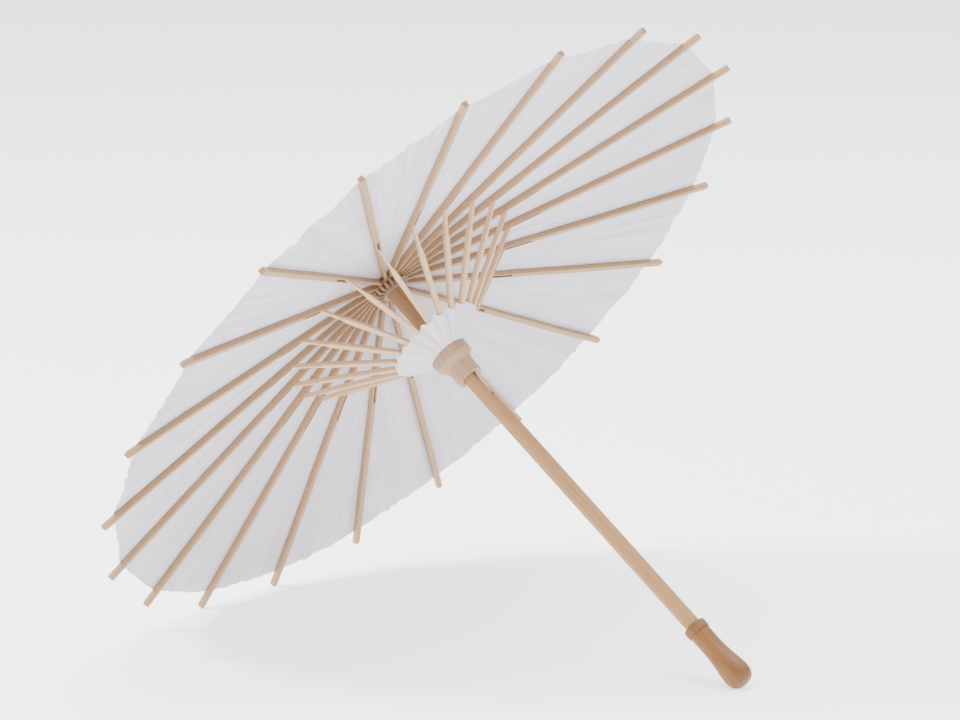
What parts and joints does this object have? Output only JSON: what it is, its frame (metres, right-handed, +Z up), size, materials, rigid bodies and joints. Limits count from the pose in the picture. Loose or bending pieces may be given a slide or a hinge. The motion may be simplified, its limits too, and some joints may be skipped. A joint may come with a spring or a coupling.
{
  "type": "oil paper umbrella",
  "caption": "Oil paper umbrella with bamboo ribs and stretchers, a sliding runner held open by a catch, and a turned handle.",
  "frame": {"origin": "on the floor, below the middle of the bounding box, with the umbrella lying open on two rib tips and the end of its handle", "axes": "+Z up; the shaft lies in the XZ plane with its handle end toward +X and its top toward -X, leaning 39.0 degrees to the floor; +Y across the canopy"},
  "size_m": [0.3152, 0.3998, 0.3112],
  "materials": {
    "shaft_wood": "smooth bare bamboo",
    "handle_wood": "turned and lightly oiled",
    "turned_wood": "turned, bare",
    "thread": "waxed cotton thread",
    "oiled_paper": "oiled, slightly translucent",
    "cap_paper": "oiled",
    "sleeve_paper": "matte",
    "catch_bamboo": "split bamboo",
    "pin_bamboo": "split bamboo",
    "rib_bamboo": "split bamboo, dark end grain",
    "stretcher_bamboo": "split bamboo"
  },
  "bodies": {
    "stick": {"shaft": "shaft_wood", "handle": "handle_wood", "top_notch": "turned_wood", "notch_thread": "thread", "canopy": "oiled_paper", "crown_cap": "cap_paper", "top_ring": "turned_wood", "catch_pin": "pin_bamboo"},
    "runner": {"runner": "turned_wood", "runner_thread": "thread", "runner_paper": "sleeve_paper"},
    "catch": {"catch": "catch_bamboo"},
    "rib_01": {"rib_01": "rib_bamboo"},
    "rib_02": {"rib_02": "rib_bamboo"},
    "rib_03": {"rib_03": "rib_bamboo"},
    "rib_04": {"rib_04": "rib_bamboo"},
    "rib_05": {"rib_05": "rib_bamboo"},
    "rib_06": {"rib_06": "rib_bamboo"},
    "rib_07": {"rib_07": "rib_bamboo"},
    "rib_08": {"rib_08": "rib_bamboo"},
    "rib_09": {"rib_09": "rib_bamboo"},
    "rib_10": {"rib_10": "rib_bamboo"},
    "rib_11": {"rib_11": "rib_bamboo"},
    "rib_12": {"rib_12": "rib_bamboo"},
    "rib_13": {"rib_13": "rib_bamboo"},
    "rib_14": {"rib_14": "rib_bamboo"},
    "rib_15": {"rib_15": "rib_bamboo"},
    "rib_16": {"rib_16": "rib_bamboo"},
    "rib_17": {"rib_17": "rib_bamboo"},
    "rib_18": {"rib_18": "rib_bamboo"},
    "rib_19": {"rib_19": "rib_bamboo"},
    "rib_20": {"rib_20": "rib_bamboo"},
    "rib_21": {"rib_21": "rib_bamboo"},
    "stretcher_01": {"stretcher_01": "stretcher_bamboo"},
    "stretcher_02": {"stretcher_02": "stretcher_bamboo"},
    "stretcher_03": {"stretcher_03": "stretcher_bamboo"},
    "stretcher_04": {"stretcher_04": "stretcher_bamboo"},
    "stretcher_05": {"stretcher_05": "stretcher_bamboo"},
    "stretcher_06": {"stretcher_06": "stretcher_bamboo"},
    "stretcher_07": {"stretcher_07": "stretcher_bamboo"},
    "stretcher_08": {"stretcher_08": "stretcher_bamboo"},
    "stretcher_09": {"stretcher_09": "stretcher_bamboo"},
    "stretcher_10": {"stretcher_10": "stretcher_bamboo"},
    "stretcher_11": {"stretcher_11": "stretcher_bamboo"},
    "stretcher_12": {"stretcher_12": "stretcher_bamboo"},
    "stretcher_13": {"stretcher_13": "stretcher_bamboo"},
    "stretcher_14": {"stretcher_14": "stretcher_bamboo"},
    "stretcher_15": {"stretcher_15": "stretcher_bamboo"},
    "stretcher_16": {"stretcher_16": "stretcher_bamboo"},
    "stretcher_17": {"stretcher_17": "stretcher_bamboo"},
    "stretcher_18": {"stretcher_18": "stretcher_bamboo"},
    "stretcher_19": {"stretcher_19": "stretcher_bamboo"},
    "stretcher_20": {"stretcher_20": "stretcher_bamboo"},
    "stretcher_21": {"stretcher_21": "stretcher_bamboo"}
  },
  "joints": [
    {"name": "runner_slide", "type": "slide", "parent": "stick", "child": "runner", "axis": [0.7768, 0, -0.6297], "range_m": [0, 0.08714], "deforming": ["canopy", "runner_paper", "catch"]},
    {"name": "rib_hinge_01", "type": "hinge", "parent": "stick", "child": "rib_01", "pos_m": [-0.06139, -0.00119, 0.16864], "axis": [0.0939, -0.9888, 0.1158], "range_deg": [0, 76.4]},
    {"name": "stretcher_hinge_01", "type": "hinge", "parent": "runner", "child": "stretcher_01", "pos_m": [-0.02346, -0.00113, 0.13841], "axis": [-0.0939, 0.9888, -0.1158], "range_deg": [0, 54.91]},
    {"name": "rib_hinge_02", "type": "hinge", "parent": "stick", "child": "rib_02", "pos_m": [-0.06094, -0.00347, 0.16919], "axis": [0.2732, -0.901, 0.337], "range_deg": [0, 76.4]},
    {"name": "stretcher_hinge_02", "type": "hinge", "parent": "runner", "child": "stretcher_02", "pos_m": [-0.02304, -0.0033, 0.13892], "axis": [-0.2732, 0.901, -0.337], "range_deg": [0, 54.91]},
    {"name": "rib_hinge_03", "type": "hinge", "parent": "stick", "child": "rib_03", "pos_m": [-0.0601, -0.00544, 0.17023], "axis": [0.4283, -0.7331, 0.5284], "range_deg": [0, 76.4]},
    {"name": "stretcher_hinge_03", "type": "hinge", "parent": "runner", "child": "stretcher_03", "pos_m": [-0.02224, -0.00517, 0.13992], "axis": [-0.4283, 0.7331, -0.5284], "range_deg": [0, 54.91]},
    {"name": "rib_hinge_04", "type": "hinge", "parent": "stick", "child": "rib_04", "pos_m": [-0.05892, -0.00693, 0.17168], "axis": [0.5454, -0.5, 0.6727], "range_deg": [0, 76.4]},
    {"name": "stretcher_hinge_04", "type": "hinge", "parent": "runner", "child": "stretcher_04", "pos_m": [-0.02112, -0.00658, 0.14129], "axis": [-0.5454, 0.5, -0.6727], "range_deg": [0, 54.91]},
    {"name": "rib_hinge_05", "type": "hinge", "parent": "stick", "child": "rib_05", "pos_m": [-0.05753, -0.0078, 0.1734], "axis": [0.6139, -0.2225, 0.7573], "range_deg": [0, 76.4]},
    {"name": "stretcher_hinge_05", "type": "hinge", "parent": "runner", "child": "stretcher_05", "pos_m": [-0.01979, -0.00741, 0.14293], "axis": [-0.6139, 0.2225, -0.7573], "range_deg": [0, 54.91]},
    {"name": "rib_hinge_06", "type": "hinge", "parent": "stick", "child": "rib_06", "pos_m": [-0.05603, -0.00798, 0.17525], "axis": [0.628, 0.0747, 0.7746], "range_deg": [0, 76.4]},
    {"name": "stretcher_hinge_06", "type": "hinge", "parent": "runner", "child": "stretcher_06", "pos_m": [-0.01837, -0.00758, 0.14468], "axis": [-0.628, -0.0747, -0.7746], "range_deg": [0, 54.91]},
    {"name": "rib_hinge_07", "type": "hinge", "parent": "stick", "child": "rib_07", "pos_m": [-0.05456, -0.00745, 0.17705], "axis": [0.5862, 0.3653, 0.7231], "range_deg": [0, 76.4]},
    {"name": "stretcher_hinge_07", "type": "hinge", "parent": "runner", "child": "stretcher_07", "pos_m": [-0.01698, -0.00707, 0.1464], "axis": [-0.5862, -0.3653, -0.7231], "range_deg": [0, 54.91]},
    {"name": "rib_hinge_08", "type": "hinge", "parent": "stick", "child": "rib_08", "pos_m": [-0.05326, -0.00626, 0.17866], "axis": [0.4923, 0.6235, 0.6073], "range_deg": [0, 76.4]},
    {"name": "stretcher_hinge_08", "type": "hinge", "parent": "runner", "child": "stretcher_08", "pos_m": [-0.01574, -0.00594, 0.14792], "axis": [-0.4923, -0.6235, -0.6073], "range_deg": [0, 54.91]},
    {"name": "rib_hinge_09", "type": "hinge", "parent": "stick", "child": "rib_09", "pos_m": [-0.05224, -0.00451, 0.17992], "axis": [0.3547, 0.8262, 0.4376], "range_deg": [0, 76.4]},
    {"name": "stretcher_hinge_09", "type": "hinge", "parent": "runner", "child": "stretcher_09", "pos_m": [-0.01477, -0.00428, 0.14912], "axis": [-0.3547, -0.8262, -0.4376], "range_deg": [0, 54.91]},
    {"name": "rib_hinge_10", "type": "hinge", "parent": "stick", "child": "rib_10", "pos_m": [-0.05159, -0.00236, 0.18072], "axis": [0.1856, 0.9556, 0.229], "range_deg": [0, 76.4]},
    {"name": "stretcher_hinge_10", "type": "hinge", "parent": "runner", "child": "stretcher_10", "pos_m": [-0.01416, -0.00224, 0.14988], "axis": [-0.1856, -0.9556, -0.229], "range_deg": [0, 54.91]},
    {"name": "rib_hinge_11", "type": "hinge", "parent": "stick", "child": "rib_11", "pos_m": [-0.05137, 0, 0.181], "axis": [0, 1, 0], "range_deg": [0, 76.4]},
    {"name": "stretcher_hinge_11", "type": "hinge", "parent": "runner", "child": "stretcher_11", "pos_m": [-0.01394, 0, 0.15015], "axis": [0, -1, 0], "range_deg": [0, 54.91]},
    {"name": "rib_hinge_12", "type": "hinge", "parent": "stick", "child": "rib_12", "pos_m": [-0.05159, 0.00236, 0.18072], "axis": [-0.1856, 0.9556, -0.229], "range_deg": [0, 76.4]},
    {"name": "stretcher_hinge_12", "type": "hinge", "parent": "runner", "child": "stretcher_12", "pos_m": [-0.01416, 0.00224, 0.14988], "axis": [0.1856, -0.9556, 0.229], "range_deg": [0, 54.91]},
    {"name": "rib_hinge_13", "type": "hinge", "parent": "stick", "child": "rib_13", "pos_m": [-0.05224, 0.00451, 0.17992], "axis": [-0.3547, 0.8262, -0.4376], "range_deg": [0, 76.4]},
    {"name": "stretcher_hinge_13", "type": "hinge", "parent": "runner", "child": "stretcher_13", "pos_m": [-0.01477, 0.00428, 0.14912], "axis": [0.3547, -0.8262, 0.4376], "range_deg": [0, 54.91]},
    {"name": "rib_hinge_14", "type": "hinge", "parent": "stick", "child": "rib_14", "pos_m": [-0.05326, 0.00626, 0.17866], "axis": [-0.4923, 0.6235, -0.6073], "range_deg": [0, 76.4]},
    {"name": "stretcher_hinge_14", "type": "hinge", "parent": "runner", "child": "stretcher_14", "pos_m": [-0.01574, 0.00594, 0.14792], "axis": [0.4923, -0.6235, 0.6073], "range_deg": [0, 54.91]},
    {"name": "rib_hinge_15", "type": "hinge", "parent": "stick", "child": "rib_15", "pos_m": [-0.05456, 0.00745, 0.17705], "axis": [-0.5862, 0.3653, -0.7231], "range_deg": [0, 76.4]},
    {"name": "stretcher_hinge_15", "type": "hinge", "parent": "runner", "child": "stretcher_15", "pos_m": [-0.01698, 0.00707, 0.1464], "axis": [0.5862, -0.3653, 0.7231], "range_deg": [0, 54.91]},
    {"name": "rib_hinge_16", "type": "hinge", "parent": "stick", "child": "rib_16", "pos_m": [-0.05603, 0.00798, 0.17525], "axis": [-0.628, 0.0747, -0.7746], "range_deg": [0, 76.4]},
    {"name": "stretcher_hinge_16", "type": "hinge", "parent": "runner", "child": "stretcher_16", "pos_m": [-0.01837, 0.00758, 0.14468], "axis": [0.628, -0.0747, 0.7746], "range_deg": [0, 54.91]},
    {"name": "rib_hinge_17", "type": "hinge", "parent": "stick", "child": "rib_17", "pos_m": [-0.05753, 0.0078, 0.1734], "axis": [-0.6139, -0.2225, -0.7573], "range_deg": [0, 76.4]},
    {"name": "stretcher_hinge_17", "type": "hinge", "parent": "runner", "child": "stretcher_17", "pos_m": [-0.01979, 0.00741, 0.14293], "axis": [0.6139, 0.2225, 0.7573], "range_deg": [0, 54.91]},
    {"name": "rib_hinge_18", "type": "hinge", "parent": "stick", "child": "rib_18", "pos_m": [-0.05892, 0.00693, 0.17168], "axis": [-0.5454, -0.5, -0.6727], "range_deg": [0, 76.4]},
    {"name": "stretcher_hinge_18", "type": "hinge", "parent": "runner", "child": "stretcher_18", "pos_m": [-0.02112, 0.00658, 0.14129], "axis": [0.5454, 0.5, 0.6727], "range_deg": [0, 54.91]},
    {"name": "rib_hinge_19", "type": "hinge", "parent": "stick", "child": "rib_19", "pos_m": [-0.0601, 0.00544, 0.17023], "axis": [-0.4283, -0.7331, -0.5284], "range_deg": [0, 76.4]},
    {"name": "stretcher_hinge_19", "type": "hinge", "parent": "runner", "child": "stretcher_19", "pos_m": [-0.02224, 0.00517, 0.13992], "axis": [0.4283, 0.7331, 0.5284], "range_deg": [0, 54.91]},
    {"name": "rib_hinge_20", "type": "hinge", "parent": "stick", "child": "rib_20", "pos_m": [-0.06094, 0.00347, 0.16919], "axis": [-0.2732, -0.901, -0.337], "range_deg": [0, 76.4]},
    {"name": "stretcher_hinge_20", "type": "hinge", "parent": "runner", "child": "stretcher_20", "pos_m": [-0.02304, 0.0033, 0.13892], "axis": [0.2732, 0.901, 0.337], "range_deg": [0, 54.91]},
    {"name": "rib_hinge_21", "type": "hinge", "parent": "stick", "child": "rib_21", "pos_m": [-0.06139, 0.00119, 0.16864], "axis": [-0.0939, -0.9888, -0.1158], "range_deg": [0, 76.4]},
    {"name": "stretcher_hinge_21", "type": "hinge", "parent": "runner", "child": "stretcher_21", "pos_m": [-0.02346, 0.00113, 0.13841], "axis": [0.0939, 0.9888, 0.1158], "range_deg": [0, 54.91]},
    {"name": "catch_hinge", "type": "hinge", "parent": "stick", "child": "catch", "pos_m": [0.00705, -0.00028, 0.12745], "axis": [-0.0549, -0.9962, -0.0677], "range_deg": [0, 7], "stiffness_Nm_per_rad": 0.02}
  ],
  "couplings": [
    {"joint": "rib_hinge_01", "follows": "runner_slide", "rad_per_m": 15.302},
    {"joint": "stretcher_hinge_01", "follows": "runner_slide", "rad_per_m": 10.997},
    {"joint": "rib_hinge_02", "follows": "runner_slide", "rad_per_m": 15.302},
    {"joint": "stretcher_hinge_02", "follows": "runner_slide", "rad_per_m": 10.997},
    {"joint": "rib_hinge_03", "follows": "runner_slide", "rad_per_m": 15.302},
    {"joint": "stretcher_hinge_03", "follows": "runner_slide", "rad_per_m": 10.997},
    {"joint": "rib_hinge_04", "follows": "runner_slide", "rad_per_m": 15.302},
    {"joint": "stretcher_hinge_04", "follows": "runner_slide", "rad_per_m": 10.997},
    {"joint": "rib_hinge_05", "follows": "runner_slide", "rad_per_m": 15.302},
    {"joint": "stretcher_hinge_05", "follows": "runner_slide", "rad_per_m": 10.997},
    {"joint": "rib_hinge_06", "follows": "runner_slide", "rad_per_m": 15.302},
    {"joint": "stretcher_hinge_06", "follows": "runner_slide", "rad_per_m": 10.997},
    {"joint": "rib_hinge_07", "follows": "runner_slide", "rad_per_m": 15.302},
    {"joint": "stretcher_hinge_07", "follows": "runner_slide", "rad_per_m": 10.997},
    {"joint": "rib_hinge_08", "follows": "runner_slide", "rad_per_m": 15.302},
    {"joint": "stretcher_hinge_08", "follows": "runner_slide", "rad_per_m": 10.997},
    {"joint": "rib_hinge_09", "follows": "runner_slide", "rad_per_m": 15.302},
    {"joint": "stretcher_hinge_09", "follows": "runner_slide", "rad_per_m": 10.997},
    {"joint": "rib_hinge_10", "follows": "runner_slide", "rad_per_m": 15.302},
    {"joint": "stretcher_hinge_10", "follows": "runner_slide", "rad_per_m": 10.997},
    {"joint": "rib_hinge_11", "follows": "runner_slide", "rad_per_m": 15.302},
    {"joint": "stretcher_hinge_11", "follows": "runner_slide", "rad_per_m": 10.997},
    {"joint": "rib_hinge_12", "follows": "runner_slide", "rad_per_m": 15.302},
    {"joint": "stretcher_hinge_12", "follows": "runner_slide", "rad_per_m": 10.997},
    {"joint": "rib_hinge_13", "follows": "runner_slide", "rad_per_m": 15.302},
    {"joint": "stretcher_hinge_13", "follows": "runner_slide", "rad_per_m": 10.997},
    {"joint": "rib_hinge_14", "follows": "runner_slide", "rad_per_m": 15.302},
    {"joint": "stretcher_hinge_14", "follows": "runner_slide", "rad_per_m": 10.997},
    {"joint": "rib_hinge_15", "follows": "runner_slide", "rad_per_m": 15.302},
    {"joint": "stretcher_hinge_15", "follows": "runner_slide", "rad_per_m": 10.997},
    {"joint": "rib_hinge_16", "follows": "runner_slide", "rad_per_m": 15.302},
    {"joint": "stretcher_hinge_16", "follows": "runner_slide", "rad_per_m": 10.997},
    {"joint": "rib_hinge_17", "follows": "runner_slide", "rad_per_m": 15.302},
    {"joint": "stretcher_hinge_17", "follows": "runner_slide", "rad_per_m": 10.997},
    {"joint": "rib_hinge_18", "follows": "runner_slide", "rad_per_m": 15.302},
    {"joint": "stretcher_hinge_18", "follows": "runner_slide", "rad_per_m": 10.997},
    {"joint": "rib_hinge_19", "follows": "runner_slide", "rad_per_m": 15.302},
    {"joint": "stretcher_hinge_19", "follows": "runner_slide", "rad_per_m": 10.997},
    {"joint": "rib_hinge_20", "follows": "runner_slide", "rad_per_m": 15.302},
    {"joint": "stretcher_hinge_20", "follows": "runner_slide", "rad_per_m": 10.997},
    {"joint": "rib_hinge_21", "follows": "runner_slide", "rad_per_m": 15.302},
    {"joint": "stretcher_hinge_21", "follows": "runner_slide", "rad_per_m": 10.997}
  ]
}
